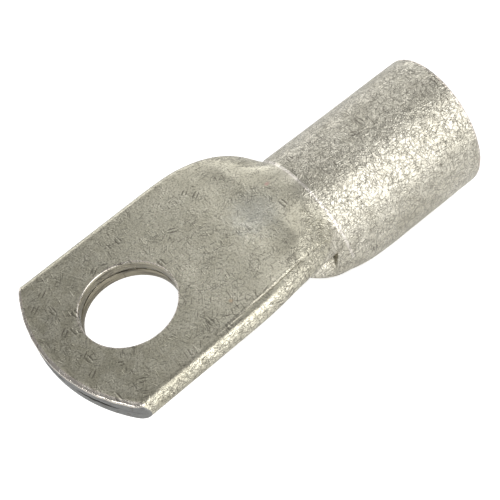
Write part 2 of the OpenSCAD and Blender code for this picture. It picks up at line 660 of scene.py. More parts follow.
@dataclass
class Palm:
    """The flattened end of the tube with its two folds and its shoulders.

    Attributes:
        form: Sizes of the lug.
        flat_steps: Points along one half of a face.
        fold_steps: Points along a quarter turn of a fold.
        rim_steps: Rings round the edge of the sheared end.
        rows: Rings along the palm.
        shoulder_rows: Rings along the last stretch of the shoulders.
        shoulder_run: Length of that stretch, up to the die line.
        crowding: How the points of a face crowd towards the fold, 1 for not at all.
        straighten: Length over which the rings lose the curve of the sheared end.
        overlap: How far the palm runs on into the tube, for a sound join.
        swell: Waves of both faces.
        swell_upper: Share of them on the upper layer.
        swell_under: Share of them on the lower layer.
        hollow: How low the upper face lies along the palm.
        proud: How high the shoulders may stand above the contact face.
        proud_run: Length over which that height grows.
        lip: Height of the lip that the shear turned up.
        lip_run: Length of that lip.
        lip_level: Mean height of the lip, as a share.
        lip_wave: How the lip rises and falls along the end.
        tear: How the upper layer's edge is torn.
        bows: Middle, width and half height of each place where the layers gape.
        bow_round: Roundness of those openings, 1 for a parabola.
        seam: Half height of the seam elsewhere.
        seam_room: Most of a layer that the seam may take up.
        seam_wave: How the seam wanders.
        seam_depth: How deep the seam runs in from the end where the layers gape.
        seam_shut: Half height under which the layers count as shut.
        shut_depth: Depth of the seam there, as a share.
        rough: Roughness of the sheared face.
    """

    form: LugForm
    flat_steps: int = 46
    fold_steps: int = 9
    rim_steps: int = 4
    rows: int = 110
    shoulder_rows: int = 34
    shoulder_run: float = 3.0
    crowding: float = 1.6
    straighten: float = 15.0
    overlap: float = 0.9
    swell: tuple[Wave, ...] = (Wave(0.035, 6.5), Wave(0.02, 2.6, 3.0))
    swell_upper: float = 0.6
    swell_under: float = 0.4
    hollow: float = 0.045
    proud: float = 0.4
    proud_run: float = 9.0
    lip: float = 0.09
    lip_run: float = 0.9
    lip_level: float = 0.6
    lip_wave: Wave = Wave(1.0, 1.7, 7.0)
    tear: Wave = Wave(0.06, 1.1, 2.0)
    bows: tuple[Point, ...] = ((-0.8, 4.6, 0.17), (-8.35, 6.5, 0.21), (6.9, 5.4, 0.14))
    bow_round: float = 0.7
    seam: float = 0.025
    seam_room: float = 0.7
    seam_wave: Wave = Wave(0.02, 0.8, 5.0)
    seam_depth: float = 0.9
    seam_shut: float = 0.03
    shut_depth: float = 0.3
    rough: Wave = Wave(0.02, 0.5, 1.0)

    @property
    def sides(self) -> int:
        """Points of a ring between its top line and the middle of a fold."""
        return self.flat_steps + self.fold_steps

    def section(self, x: float, near: bool) -> list[tuple[float, float]]:
        """Half of the section, from the top line round the fold to the underside's middle.

        Args:
            x: Place along the lug.
            near: Whether this is the near half.

        Returns:
            Distances from the centre plane and heights above the barrel's axis.
        """
        form, steps = self.form, self.flat_steps
        closer = [1.0 - (1.0 - i / steps) ** self.crowding for i in range(steps + 1)]
        points = [form.upper(x, form.flat_share * share, near) for share in closer]
        bent = spread(form.flat_share, 1.0, self.fold_steps)
        points += [form.upper(x, share, near) for share in bent]
        side = points[-1]
        for turn in spread(0.0, QUARTER, self.fold_steps):
            reach = side[0] - form.fold_r + form.fold_r * math.cos(turn)
            points.append((reach, side[1] - form.fold_r * math.sin(turn)))
        inner = points[-1]
        points += [(inner[0] * (1 - i / steps), inner[1]) for i in range(1, steps + 1)]
        return points

    def ring(self, x: float, inset: float, hug: float) -> Ring:
        """One whole ring of the skin.

        Args:
            x: Place along the lug, measured on the centre line.
            inset: How far the ring is drawn in from the faces, for a rounded edge.
            hug: 1 where the ring follows the curve of the sheared end, 0 where it is straight.

        Returns:
            The ring's points.
        """
        form = self.form
        half = self.section(x, False)
        other = self.section(x, True)
        middle = half[self.sides][1]
        whole = half[:-1] + [(0.0, (half[-1][1] + other[-1][1]) / 2)]
        whole += [(-y, z) for y, z in reversed(other[1:-1])]
        ring: Ring = []
        for y, z in whole:
            grow = 1.0 - inset / form.fold_r
            height = middle + (z - middle) * grow
            wide = y * (1.0 - inset / (form.palm_w / 2))
            along = x + (form.tip_edge(wide) + form.tip_reach) * hug
            place = (along, wide + form.drift(along), height - form.axis_drop)
            ring.append(self.worn(place, z > middle))
        return ring

    def worn(self, place: Point, upper: bool) -> Point:
        """Press a place in or out a little, as the shear, tumbling and handling leave it.

        Args:
            place: Where the metal would be if it were perfect.
            upper: Whether the place is on the upper layer.

        Returns:
            Where it is.
        """
        x, y, z = place
        wave = sum(swell.at(place) for swell in self.swell)
        if not upper:
            return (x, y, z + wave * self.swell_under)
        end = (0.0, y, 0.0)
        near_end = 1.0 - ease((x - self.form.tip_edge(y)) / self.lip_run)
        lip = self.lip * near_end * (self.lip_level + self.lip_wave.at(end))
        past = ease((x - self.form.narrow_x) / self.proud_run)
        height = z + wave * self.swell_upper - self.hollow * (1.0 - past) + lip
        return (x - near_end * self.tear.at(end), y, min(height, self.proud * past))

    def gap(self, y: float) -> float:
        """Half height of the opening between the two layers at the sheared end.

        Args:
            y: Distance from the centre plane.

        Returns:
            The half height.
        """
        gape = sum(
            tall * max(0.0, 1.0 - (2.0 * (y - middle) / wide) ** 2) ** self.bow_round
            for middle, wide, tall in self.bows
        )
        return self.seam + gape + self.seam_wave.at((0.0, y, 0.0))

    def end_point(self, upper: Point, under: Point, level: float, deep: float) -> Point:
        """One point of the sheared face or of the seam in it.

        Args:
            upper: The point of the end's upper edge above it.
            under: The point of its lower edge below it.
            level: 1 for the seam's upper side, -1 for its lower, and 0.5 or -0.5 for
                halfway from there to the edge.
            deep: How far the point lies in from the face.

        Returns:
            The point.
        """
        middle = (upper[2] + under[2]) / 2
        room = (upper[2] - under[2]) / 2
        gap = min(self.gap(upper[1]), room * self.seam_room)
        if abs(level) == 0.5:
            height = middle + math.copysign((room + gap) / 2, level)
        else:
            height = middle + gap * level
        share = (height - under[2]) / max(upper[2] - under[2], 1e-6)
        inward = deep if gap > self.seam_shut else deep * self.shut_depth
        rough = self.rough.at((0.0, upper[1], height))
        face = mix(under[0], upper[0], share)
        return (face + inward + rough, mix(under[1], upper[1], share), height)

    def cap(self, skin: Skin) -> bpy.types.Object:
        """Close the sheared end with a face that has the seam in it.

        Args:
            skin: The palm's rings, the first of them at the sheared end.

        Returns:
            The palm, closed.
        """
        points, faces = skin.points(), [*skin.walls(), skin.end()]
        count = len(skin.rings[0])
        top = [(self.sides - k) % count for k in range(2 * self.sides + 1)]
        low = [(self.sides + k) % count for k in range(2 * self.sides + 1)]
        deep = self.seam_depth
        half = ((0.5, 0.0), (1.0, 0.0), (0.9, deep))
        rows = [top]
        for level, inward in (*half, *((-level, inward) for level, inward in reversed(half))):
            row = [top[0]]
            for upper, under in zip(top[1:-1], low[1:-1]):
                row.append(len(points))
                points.append(self.end_point(points[upper], points[under], level, inward))
            rows.append([*row, top[-1]])
        rows.append(low)
        for upper_row, under_row in zip(rows, rows[1:]):
            for k in range(2 * self.sides):
                corners = (upper_row[k], upper_row[k + 1], under_row[k + 1], under_row[k])
                unique = tuple(dict.fromkeys(corners))
                if len(unique) > 2:
                    faces.append(unique)
        return closed(skin.name, points, faces)

    def build(self) -> bpy.types.Object:
        """Make the palm and shoulders.

        Returns:
            The closed object.
        """
        form = self.form
        skin = Skin("Palm")
        for i in range(self.rim_steps + 1):
            turn = QUARTER * i / self.rim_steps
            back = form.edge_r * (1.0 - math.cos(turn))
            skin.add(self.ring(back - form.tip_reach, form.edge_r * (1.0 - math.sin(turn)), 1.0))
        start = form.edge_r - form.tip_reach
        shoulder = form.press_x - self.shoulder_run
        for x in spread(start, shoulder, self.rows):
            skin.add(self.ring(x, 0.0, 1.0 - ease((x - start) / self.straighten)))
        for x in spread(shoulder, form.shoulder_end, self.shoulder_rows):
            skin.add(self.ring(x, 0.0, 0.0))
        skin.add(self.ring(form.press_x + self.overlap, 0.0, 0.0))
        return self.cap(skin)


@dataclass
class Barrel:
    """The round tube, the bites of the dies and the ramp that runs up under the palm.

    Attributes:
        form: Sizes of the lug.
        round_steps: Points round a ring.
        nose_rows: Rings from the ramp's nose to the tucks.
        tuck_rows: Rings along the tucks and the die line.
        tuck_margin: How far those rings start before the foot of the tucks.
        tuck_past: How far they run on past the die line.
        heel_rows: Rings from there to the end of the heel.
        mouth_rows: Rings between the heel and the mouth.
        rim_steps: Rings round the edge of the mouth.
        rim: Radius of that edge.
        wall_run: Length over which the tuck's wall rises.
        step_run: Length over which the die's step rises.
        side_from: Angle from the top where the die's step and ridge start to fade.
        side_run: Angle over which they fade.
        ridge_w: Width of the thin ridge along the die line.
        groove_w: Width of the shallow groove that it stands in.
        groove: Depth of that groove, as a share of the ridge.
        tuck_head: From the palm's underside down to the top of the tuck.
        tuck_blend: Height over which the tuck's wall becomes the die line.
        dents: Unevenness of the tube.
        dent_depth: How far the tube lies in from its true round, so none stands out.
    """

    form: LugForm
    round_steps: int = 260
    nose_rows: int = 34
    tuck_rows: int = 60
    tuck_margin: float = 0.4
    tuck_past: float = 0.8
    heel_rows: int = 26
    mouth_rows: int = 22
    rim_steps: int = 4
    rim: float = 0.25
    wall_run: float = 0.16
    step_run: float = 0.2
    side_from: float = 1.3
    side_run: float = 0.25
    ridge_w: float = 0.15
    groove_w: float = 0.34
    groove: float = 0.9
    tuck_head: float = 0.6
    tuck_blend: float = 1.2
    dents: tuple[Wave, ...] = (Wave(0.02, 5.0, 1.0), Wave(0.012, 2.0, 4.0))
    dent_depth: float = 0.02

    def die_line(self, turn: float) -> float:
        """Where the upper die stopped.

        Args:
            turn: Angle from the top of the tube.

        Returns:
            Place along X.
        """
        return self.form.press_x + self.form.press_bow * (0.5 - math.cos(turn))

    def start_of_tube(self, turn: float) -> float:
        """Where the full round of the tube begins.

        Args:
            turn: Angle from the top of the tube.

        Returns:
            Place along X.
        """
        form = self.form
        height = form.barrel_r * math.cos(turn)
        head = form.underside - self.tuck_head
        share = clamp((height - form.tuck_rise) / (head - form.tuck_rise))
        lean = mix(form.tuck_foot, form.tuck_foot + form.tuck_lean, share)
        return mix(lean, self.die_line(turn), ease((height - head) / self.tuck_blend + 0.5))

    def die_mark(self, x: float, turn: float) -> float:
        """Height of the step and the ridge that the upper die left.

        Args:
            x: Place along the lug.
            turn: Angle from the top of the tube.

        Returns:
            The height, negative where the tube is pressed in.
        """
        past = x - self.die_line(turn)
        side = 1.0 - ease((turn - self.side_from) / self.side_run)
        step = self.form.press_step * (ease(past / self.step_run + 0.5) - 1.0)
        ridge = math.exp(-((past / self.ridge_w) ** 2))
        groove = self.groove * math.exp(-((past / self.groove_w) ** 2))
        return side * (step + self.form.ridge * (ridge - groove))

    def upper_radius(self, x: float, sine: float, cosine: float) -> float:
        """Distance of the metal from the section's centre, above its widest line.

        Args:
            x: Place along the lug.
            sine: Sine of the angle from the top, positive on both sides.
            cosine: Cosine of that angle.

        Returns:
            The distance.
        """
        form = self.form
        waist = form.ramp_waist(x)
        high = form.axis_drop - form.fold_r - waist
        power = form.tuck_power(x)
        inner = ((sine / form.ramp_half(x)) ** power + (cosine / high) ** power) ** (-1 / power)
        up = waist * cosine
        tube = -up + math.sqrt(max(up * up - waist * waist + form.barrel_r**2, 0.0))
        seen = math.atan2(tube * sine, waist + tube * cosine)
        wall = ease((x - self.start_of_tube(seen)) / self.wall_run + 0.5)
        tube += self.die_mark(x, seen)
        return mix(min(inner, tube), tube, wall)

    def lower_radius(self, x: float, sine: float, cosine: float) -> float:
        """Distance of the metal from the section's centre, below its widest line.

        Args:
            x: Place along the lug.
            sine: Sine of the angle from the top, positive on both sides.
            cosine: Cosine of that angle.

        Returns:
            The distance.
        """
        form = self.form
        low = form.ramp_waist(x) - form.ramp_low(x)
        along = (x - form.heel_start) / (form.heel_end - form.heel_start)
        power = 2.0 / mix(form.squareness, 1.0, ease(along))
        total = (sine / form.ramp_half(x)) ** power + (abs(cosine) / low) ** power
        return total ** (-1.0 / power)

    def ring(self, x: float, rim: float = 0.0, mouth: float = 0.0) -> Ring:
        """One ring of the tube.

        Args:
            x: Place along the lug.
            rim: How far the ring is drawn in, for the rounded edge of the mouth.
            mouth: 1 where the ring lies along the sawn mouth, 0 where it is square.

        Returns:
            The ring's points.
        """
        form = self.form
        waist = form.ramp_waist(x)
        ring: Ring = []
        for sine, cosine in circle(self.round_steps):
            side = self.upper_radius if cosine > 0 else self.lower_radius
            reach = side(x, abs(sine), cosine) - rim
            y, z = reach * sine, waist + reach * cosine
            along = x + form.mouth_skew(y, z) * mouth
            dent = sum(wave.at((along, y, z - form.axis_drop)) for wave in self.dents)
            scale = 1.0 + (dent - self.dent_depth) / max(reach, 1.0)
            ring.append((along, y * scale, waist + reach * cosine * scale - form.axis_drop))
        return ring

    def build(self) -> bpy.types.Object:
        """Make the tube, closed at the mouth.

        Returns:
            The solid tube, before it is hollowed.
        """
        form = self.form
        skin = Skin("Barrel")
        stretches = (
            (form.heel_start - form.nose, self.nose_rows),
            (form.tuck_foot - self.tuck_margin, self.tuck_rows),
            (form.press_x + self.tuck_past, self.heel_rows),
            (form.heel_end, 0),
        )
        for (first, rows), (last, _) in zip(stretches, stretches[1:]):
            for i in range(rows):
                skin.add(self.ring(mix(first, last, i / rows)))
        for i in range(self.mouth_rows + 1):
            share = i / self.mouth_rows
            skin.add(self.ring(mix(form.heel_end, form.mouth_x - self.rim, share), mouth=share))
        for turn in spread(0.0, QUARTER, self.rim_steps):
            back, inset = self.rim * (1 - math.sin(turn)), self.rim * (1 - math.cos(turn))
            skin.add(self.ring(form.mouth_x - back, inset, 1.0))
        return skin.build()


@dataclass
class Hollow:
    """The bore and its pinched end, as a solid that is taken out of the tube.

    Attributes:
        form: Sizes of the lug.
        round_steps: Points round a ring.
        rows: Rings along the pinched end.
        start_gap: From the palm's bend to the tip of the pinched end.
        end_gap: From the full bore back to the end of the heel.
        under_layer: Thickness of the layer under the pinched end, as a share of the others'.
        least_half: Least half width of the pinched end.
        least_high: Least height above and below its widest line.
        mouth_rings: Place past the mouth and extra radius of each ring at the mouth.
    """

    form: LugForm
    round_steps: int = 128
    rows: int = 40
    start_gap: float = 0.2
    end_gap: float = 1.0
    under_layer: float = 1.2
    least_half: float = 1.0
    least_high: float = 0.1
    mouth_rings: tuple[tuple[float, float], ...] = (
        (-0.45, 0.0),
        (-0.22, 0.06),
        (0.02, 0.3),
        (1.6, 1.9),
    )

    @property
    def start(self) -> float:
        """Where the pinched end has its tip."""
        return self.form.root_x + self.start_gap

    @property
    def end(self) -> float:
        """Where the pinched end has become the bore."""
        return self.form.heel_end - self.end_gap

    def pinched(self, x: float) -> Ring:
        """One ring of the pinched end.

        Args:
            x: Place along the lug.

        Returns:
            The ring's points.
        """
        form = self.form
        share = clamp((x - self.start) / (self.end - self.start))
        layer = mix(form.fold_r, form.barrel_r - form.bore_r, ease(share))
        waist = form.ramp_waist(x)
        half = max(min(form.ramp_half(x) - layer, form.bore_r), self.least_half)
        deep = waist - form.ramp_low(x) - layer * self.under_layer
        low = clamp(deep, self.least_high, form.bore_r)
        high = clamp(form.crest(x) - layer - waist, self.least_high, form.bore_r)
        open_up = ease((x - form.tuck_foot) / (self.end - form.tuck_foot))
        narrow = 2.0 / mix(form.tuck_power(x), 2.0, open_up)
        ring: Ring = []
        for sine, cosine in circle(self.round_steps):
            tall, power = (high, narrow) if cosine > 0 else (low, 1.0)
            wide = half * math.copysign(abs(sine) ** power, sine)
            rise = tall * math.copysign(abs(cosine) ** power, cosine)
            ring.append((x, wide, waist + rise - form.axis_drop))
        return ring

    def round(self, x: float, radius: float, mouth: float) -> Ring:
        """One ring of the round bore.

        Args:
            x: Place along the lug.
            radius: Its radius.
            mouth: 1 where the ring lies along the sawn mouth, 0 where it is square.

        Returns:
            The ring's points.
        """
        ring: Ring = []
        for sine, cosine in circle(self.round_steps):
            y, z = radius * sine, radius * cosine
            skew = self.form.mouth_skew(y, z) * mouth
            ring.append((x + skew, y, z - self.form.axis_drop))
        return ring

    def build(self) -> bpy.types.Object:
        """Make the solid.

        Returns:
            The closed object.
        """
        form = self.form
        skin = Skin("Hollow")
        for i in range(self.rows + 1):
            skin.add(self.pinched(mix(self.start, self.end, i / self.rows)))
        skin.add(self.round(form.heel_end, form.bore_r, 0.0))
        for past, extra in self.mouth_rings:
            skin.add(self.round(form.mouth_x + past, form.bore_r + extra, 1.0))
        return skin.build()


@dataclass
class StudHole:
    """The stud hole with its burred rims and the seam between the layers.

    Attributes:
        form: Sizes of the lug.
        steps: Points round the hole.
        clear: How far the cutting solid stands past both faces.
        flare: Extra radius of the cutting solid where it stands past them.
        under: Extra radius and height above the underside along the lower rim.
        seam: Extra radius and distance from the seam along one side of it.
        rim: Extra radius and height along the upper rim.
    """

    form: LugForm
    steps: int = 160
    clear: float = 1.2
    flare: float = 1.4
    under: tuple[tuple[float, float], ...] = ((0.2, -0.02), (0.05, 0.1), (0.0, 0.25))
    seam: tuple[tuple[float, float], ...] = ((0.0, 0.16), (0.05, 0.09), (0.7, 0.06))
    rim: tuple[tuple[float, float], ...] = (
        (0.01, -0.24),
        (0.04, -0.12),
        (0.10, -0.04),
        (0.18, -0.005),
    )

    def build(self) -> bpy.types.Object:
        """Make the solid that is taken out of the palm.

        Returns:
            The closed object.
        """
        thick = self.form.palm_t
        outline = [(self.flare, -thick - self.clear)]
        outline += [(extra, height - thick) for extra, height in self.under]
        outline += [(extra, -thick / 2 - off) for extra, off in self.seam]
        outline += [(extra, -thick / 2 + off) for extra, off in reversed(self.seam)]
        outline += [*self.rim, (self.flare, self.clear)]
        skin = Skin("StudHole")
        for extra, height in outline:
            radius = self.form.hole_r + extra
            around = circle(self.steps)
            skin.add([(radius * cosine, radius * sine, height) for sine, cosine in around])
        return skin.build()


@dataclass
class Lug:
    """The whole lug, joined from its formed parts.

    Attributes:
        form: Sizes of the lug.
        finish: Its surface.
        weld: Points nearer than this are made one, in metres.
        sliver: Edges and faces smaller than this are taken out, in metres.
        smooth: Greatest angle between faces that are shaded as one.
    """

    form: LugForm
    finish: "TinFinish"
    weld: float = 0.000004
    sliver: float = 0.000002
    smooth: float = math.radians(38)

    def build(self) -> bpy.types.Object:
        """Join the parts, cut the openings and tidy the mesh.

        Returns:
            The finished piece.
        """
        piece = Barrel(self.form).build()
        combine(piece, Palm(self.form).build(), "UNION")
        combine(piece, Hollow(self.form).build(), "DIFFERENCE")
        combine(piece, StudHole(self.form).build(), "DIFFERENCE")
        piece.name = "PressedTube"
        piece.data.name = "PressedTube"
        select_mesh(piece)
        bpy.ops.mesh.remove_doubles(threshold=self.weld)
        bpy.ops.mesh.dissolve_degenerate(threshold=self.sliver)
        bpy.ops.object.mode_set(mode="OBJECT")
        bpy.ops.object.shade_smooth_by_angle(angle=self.smooth)
        return piece

    def dress(self, piece: bpy.types.Object) -> None:
        """Give the piece its finish and tell the frame what it stands for.

        Args:
            piece: The finished piece.
        """
        piece.data.materials.clear()
        piece.data.materials.append(self.finish.material())
        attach(piece, "root")
        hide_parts("lug")
        LOG.info("%s: %d faces", piece.name, len(piece.data.polygons))


# ---------------------------------------------------------------- finish


@dataclass
class Graph:
    """A node tree that is wired up by short calls.

    Attributes:
        tree: The tree.
    """

    tree: bpy.types.NodeTree

    def add(self, kind: str, **settings: object) -> bpy.types.Node:
        """Add a node.

        Args:
            kind: Its type, without the ShaderNode prefix.
            **settings: Properties to set on it.

        Returns:
            The node.
        """
        node = self.tree.nodes.new(kind if kind.startswith("Node") else "ShaderNode" + kind)
        for key, value in settings.items():
            setattr(node, key, value)
        return node

    def feed(self, socket: Socket, source: object) -> None:
        """Link a source to a socket, or set the socket's value.

        Args:
            socket: The input.
            source: An output socket, or a value.
        """
        if isinstance(source, bpy.types.NodeSocket):
            self.tree.links.new(source, socket)
        else:
            socket.default_value = source

    def group(self, tree: bpy.types.NodeTree, **sources: object) -> bpy.types.Node:
        """Add a node group.

        Args:
            tree: The group.
            **sources: Its inputs by name.

        Returns:
            The group's node.
        """
        node = self.add("Group", node_tree=tree)
        for name, source in sources.items():
            self.feed(node.inputs[name], source)
        return node

    def calc(self, operation: str, *sources: object, limit: bool = False) -> Socket:
        """Add a Math node.

        Args:
            operation: What it does.
            *sources: Its inputs.
            limit: Whether the result stays within 0 to 1.

        Returns:
            Its output.
        """
        node = self.add("Math", operation=operation, use_clamp=limit)
        for socket, source in zip(node.inputs, sources):
            self.feed(socket, source)
        return node.outputs[0]

    def times(self, first: object, *others: object) -> Socket:
        """Multiply values.

        Args:
            first: The first value.
            *others: The others.

        Returns:
            Their product.
        """
        for other in others:
            first = self.calc("MULTIPLY", first, other)
        return first

    def plus(self, first: object, second: object) -> Socket:
        """Add two values.

        Args:
            first: A value.
            second: A value.

        Returns:
            Their sum.
        """
        return self.calc("ADD", first, second)

    def minus(self, first: object, second: object) -> Socket:
        """Take one value from another.

        Args:
            first: The value.
            second: What is taken from it.

        Returns:
            The difference.
        """
        return self.calc("SUBTRACT", first, second)

    def length(self, first: object, second: object) -> Socket:
        """Find the distance of a place in a plane from that plane's origin.

        Args:
            first: Its first coordinate.
            second: Its second coordinate.

        Returns:
            The distance.
        """
        squares = self.plus(self.calc("POWER", first, 2.0), self.calc("POWER", second, 2.0))
        return self.calc("SQRT", squares)

    def ramp(
        self, source: object, low: float, high: float, start: float = 0.0, end: float = 1.0
    ) -> Socket:
        """Turn a span of values into a smooth step.

        Args:
            source: The value.
            low: Where the step starts.
            high: Where it ends.
            start: Result at the start.
            end: Result at the end.

        Returns:
            The stepped value.
        """
        node = self.add("MapRange", interpolation_type="SMOOTHSTEP")
        names = ("Value", "From Min", "From Max", "To Min", "To Max")
        for name, value in zip(names, (source, low, high, start, end)):
            self.feed(node.inputs[name], value)
        return node.outputs["Result"]

    def noise(self, place: object, scale: float, detail: float, rough: float) -> Socket:
        """Add a noise.

        Args:
            place: Its coordinates.
            scale: Its scale.
            detail: Its detail.
            rough: Its roughness.

        Returns:
            Its value, from 0 to 1.
        """
        node = self.add("TexNoise")
        names = ("Vector", "Scale", "Detail", "Roughness")
        for name, value in zip(names, (place, scale, detail, rough)):
            self.feed(node.inputs[name], value)
        return node.outputs["Fac"]

    def tint(self, share: object, first: object, second: object) -> Socket:
        """Blend two colours.

        Args:
            share: 0 for the first, 1 for the second.
            first: A colour.
            second: A colour.

        Returns:
            The blend.
        """
        node = self.add("Mix", data_type="RGBA")
        for place, value in zip((0, 6, 7), (share, first, second)):
            self.feed(node.inputs[place], value)
        return node.outputs[2]

    def millimetres(self, place: object) -> Socket:
        """Turn a place in metres into millimetres.

        Args:
            place: The place in metres.

        Returns:
            The place in millimetres.
        """
        node = self.add("VectorMath", operation="SCALE")
        self.feed(node.inputs[0], place)
        node.inputs["Scale"].default_value = 1.0 / MM
        return node.outputs[0]

    def bump(self, height: object, distance: float, normal: object = None) -> Socket:
        """Add a relief to a surface.

        Args:
            height: The relief's height.
            distance: Metres for a height of 1.
            normal: The normal that it bends, or none for the surface's own.

        Returns:
            The bent normal.
        """
        node = self.add("Bump")
        node.inputs["Strength"].default_value = 1.0
        node.inputs["Distance"].default_value = distance
        self.feed(node.inputs["Height"], height)
        if normal is not None:
            self.feed(node.inputs["Normal"], normal)
        return node.outputs["Normal"]

    def cells(
        self, sheet: object, shift: Point, turn: float, size: tuple[float, float]
    ) -> tuple[bpy.types.Node, bpy.types.Node, Socket]:
        """Scatter cells of one size that all lie in one direction.

        Args:
            sheet: The metal's surface, laid out flat in millimetres.
            shift: How far the cells are moved along it.
            turn: Their direction.
            size: Their length and width.

        Returns:
            The cells' node, the node with their random numbers, and the turned place.
        """
        around, thin = self.add("Mapping"), self.add("Mapping")
        self.feed(around.inputs["Vector"], sheet)
        around.inputs["Location"].default_value = shift
        around.inputs["Rotation"].default_value = (0.0, 0.0, turn)
        self.feed(thin.inputs["Vector"], around.outputs[0])
        thin.inputs["Scale"].default_value = (1.0 / size[0], 1.0 / size[1], 1.0)
        cells = self.add("TexVoronoi", voronoi_dimensions="2D", feature="F1")
        self.feed(cells.inputs["Vector"], thin.outputs[0])
        cells.inputs["Scale"].default_value = 1.0
        lot = self.add("SeparateColor")
        self.feed(lot.inputs[0], cells.outputs["Color"])
        return cells, lot, thin.outputs[0]


def new_group(
    name: str, takes: dict[str, str], gives: tuple[str, ...]
) -> tuple[Graph, bpy.types.Node, bpy.types.Node]:
    """Start a node group.

    Args:
        name: Its name.
        takes: Its inputs, as name to kind.
        gives: Its outputs. Sheet is a place, and the others are values.

    Returns:
        The group's graph, its input node and its output node.
    """
    tree = bpy.data.node_groups.new(name, "ShaderNodeTree")
    for label, kind in takes.items():
        tree.interface.new_socket(label, in_out="INPUT", socket_type="NodeSocket" + kind)
    for label in gives:
        kind = "Vector" if label == "Sheet" else "Float"
        tree.interface.new_socket(label, in_out="OUTPUT", socket_type="NodeSocket" + kind)
    graph = Graph(tree)
    return graph, graph.add("NodeGroupInput"), graph.add("NodeGroupOutput")


@dataclass(frozen=True)
class Blemish:
    """One discoloured spot.

    Attributes:
        middle: Its place on the metal's surface, laid out flat in millimetres.
        reach: Its radius.
        share: How strongly it covers the tin.
        colour: Its colour.
    """

    middle: Point
    reach: float
    share: float
    colour: Colour


@dataclass(frozen=True)
class Maps:
    """What the finish reads at each place on the metal.

    Attributes:
        place: The place itself, in millimetres.
        sheet: The place on the metal's surface, laid out flat.
        along: Its X.
        up: Its Z.
        tube: 1 on the tube, 0 on the palm's faces.
        side: 1 on the outside below the contact face, 0 on that face and on cut metal.
        clouds: Node of the mottled tone.
        edges: Node that finds the cut metal and the lines of the dies.
        needles: Node of the fine scratches.
        dents: Node of the deeper dents.
    """

    place: Socket
    sheet: Socket
    along: Socket
    up: Socket
    tube: Socket
    side: Socket
    clouds: bpy.types.Node
    edges: bpy.types.Node
    needles: bpy.types.Node
    dents: bpy.types.Node


